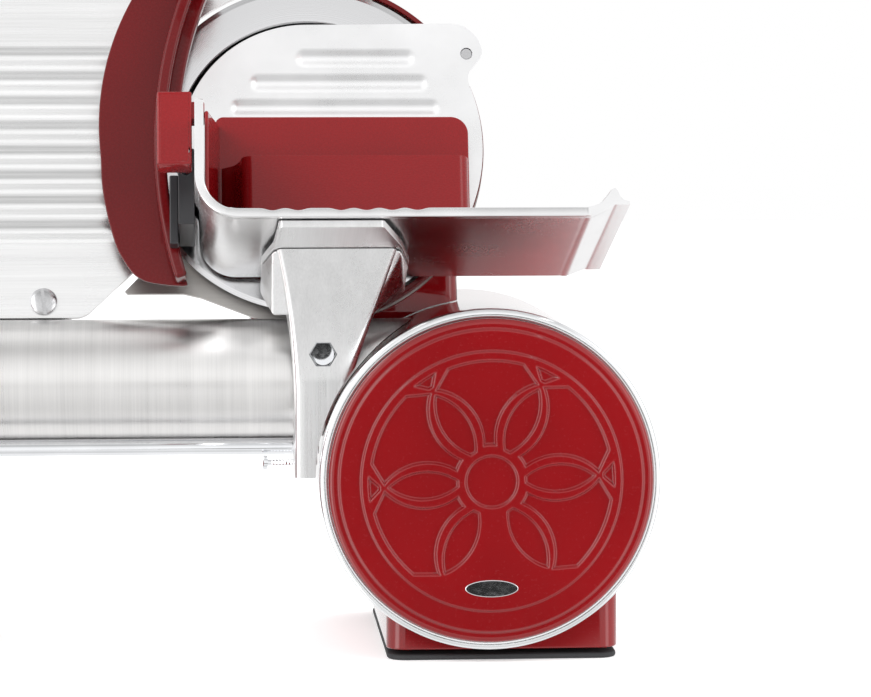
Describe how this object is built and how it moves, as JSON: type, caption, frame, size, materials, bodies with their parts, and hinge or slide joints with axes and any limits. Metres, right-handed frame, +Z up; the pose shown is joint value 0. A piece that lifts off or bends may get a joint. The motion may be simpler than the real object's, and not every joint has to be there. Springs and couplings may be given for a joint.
{
  "type": "deli meat slicer",
  "caption": "Countertop food slicer: tilted disc blade, ribbed gauge plate, sliding tray carriage with hand guard and pusher, red drum base on a tubular beam.",
  "frame": {"origin": "on the counter, under the front drum's axis and level with the blade's centre", "axes": "+Z up, +X to the operator's right along the carriage's travel, -Y towards the operator"},
  "size_m": [0.6522, 0.3725, 0.554],
  "materials": {
    "red_enamel": "deep red glossy enamel",
    "satin_aluminium": "pale satin anodised aluminium",
    "brushed_aluminium": "brushed along its length",
    "blade_steel": "turned, mirror-bright edge",
    "steel": "fine ground",
    "chrome": "polished",
    "rubber": "matte black moulded",
    "black_plastic": "fine texture",
    "nylon": "off-white moulded",
    "green_plastic": "glossy button",
    "stone": "sintered abrasive grit"
  },
  "bodies": {
    "base": {"front_drum": "red_enamel", "flower_cap": "red_enamel", "right_foot": "red_enamel", "left_foot": "red_enamel", "pedestal_drum": "red_enamel", "neck_casting": "red_enamel", "ring_guard": "red_enamel", "ring_guard_top": "red_enamel", "drive_cover": "red_enamel", "drum_rim": "chrome", "cap_badge": "chrome", "dial_scale": "chrome", "guide_rod": "chrome", "sharpener_post": "chrome", "right_sole": "rubber", "left_sole": "rubber", "drive_belt": "rubber", "roller_rail": "steel", "switch_panel": "steel", "spindle_bearing": "steel", "slice_deflector": "steel", "drive_motor": "steel", "base_tube": "brushed_aluminium", "head_plate": "brushed_aluminium", "gauge_slideway": "brushed_aluminium", "bearing_housing": "brushed_aluminium", "sharpener_bracket": "brushed_aluminium", "blade_cover": "satin_aluminium", "mains_inlet": "black_plastic"},
    "blade_disc": {"blade": "blade_steel", "blade_spindle": "steel", "blade_pulley": "nylon"},
    "motor_rotor": {"motor_pulley": "nylon"},
    "dial": {"thickness_dial": "red_enamel", "dial_shaft": "steel"},
    "gauge": {"gauge_plate": "satin_aluminium", "gauge_screw_0": "steel", "gauge_screw_1": "steel", "gauge_bracket": "brushed_aluminium"},
    "start_key": {"start_button": "green_plastic"},
    "stop_key": {"stop_button": "black_plastic"},
    "sharpener": {"sharpener_body": "red_enamel", "sharpener_knob": "black_plastic"},
    "grinder": {"grinding_stone": "stone"},
    "honer": {"honing_stone": "stone"},
    "carriage": {"carriage_tray": "satin_aluminium", "tray_bracket": "brushed_aluminium", "carriage_arm": "brushed_aluminium", "arm_bush": "chrome", "arm_gusset": "brushed_aluminium", "rod_hub": "brushed_aluminium", "stop_bolt": "chrome", "hand_guard": "red_enamel", "side_block": "black_plastic", "handle_stem": "chrome", "handle_grip": "red_enamel"},
    "pusher": {"pusher_plate": "red_enamel", "pusher_slider": "red_enamel", "pusher_rod": "chrome"}
  },
  "joints": [
    {"name": "carriage_slide", "type": "slide", "parent": "base", "child": "carriage", "axis": [1, 0, 0], "range_m": [-0.22, 0]},
    {"name": "pusher_slide", "type": "slide", "parent": "carriage", "child": "pusher", "axis": [0, -0.9537, 0.3007], "range_m": [0, 0.047]},
    {"name": "blade_spin", "type": "hinge", "parent": "base", "child": "blade_disc", "pos_m": [-0.1246, 0, 0.3644], "axis": [0, -0.9537, 0.3007], "continuous": true},
    {"name": "motor_spin", "type": "hinge", "parent": "base", "child": "motor_rotor", "pos_m": [-0.0546, 0.04783, 0.3598], "axis": [0, -0.9537, 0.3007], "continuous": true},
    {"name": "dial_turn", "type": "hinge", "parent": "base", "child": "dial", "pos_m": [-0.465, -0.13, 0.1974], "axis": [0, -1, 0], "range_deg": [0, 330]},
    {"name": "gauge_slide", "type": "slide", "parent": "base", "child": "gauge", "axis": [0, 0.9537, -0.3007], "range_m": [0, 0.0141]},
    {"name": "start_press", "type": "slide", "parent": "base", "child": "start_key", "axis": [0, 1, 0], "range_m": [0, 0.003], "stiffness_N_per_m": 400},
    {"name": "stop_press", "type": "slide", "parent": "base", "child": "stop_key", "axis": [0, 1, 0], "range_m": [0, 0.003], "stiffness_N_per_m": 400},
    {"name": "sharpener_slide", "type": "slide", "parent": "base", "child": "sharpener", "axis": [0, -0.3007, -0.9537], "range_m": [0, 0.0075]},
    {"name": "grinder_spin", "type": "hinge", "parent": "sharpener", "child": "grinder", "pos_m": [-0.0946, 0.05886, 0.49788], "axis": [0, -0.9537, 0.3007], "continuous": true},
    {"name": "honer_spin", "type": "hinge", "parent": "sharpener", "child": "honer", "pos_m": [-0.0826, 0.03168, 0.50645], "axis": [0, -0.9537, 0.3007], "continuous": true}
  ],
  "couplings": [
    {"joint": "motor_spin", "follows": "blade_spin", "ratio": 3.3333},
    {"joint": "gauge_slide", "follows": "dial_turn", "m_per_rad": 0.002431}
  ]
}
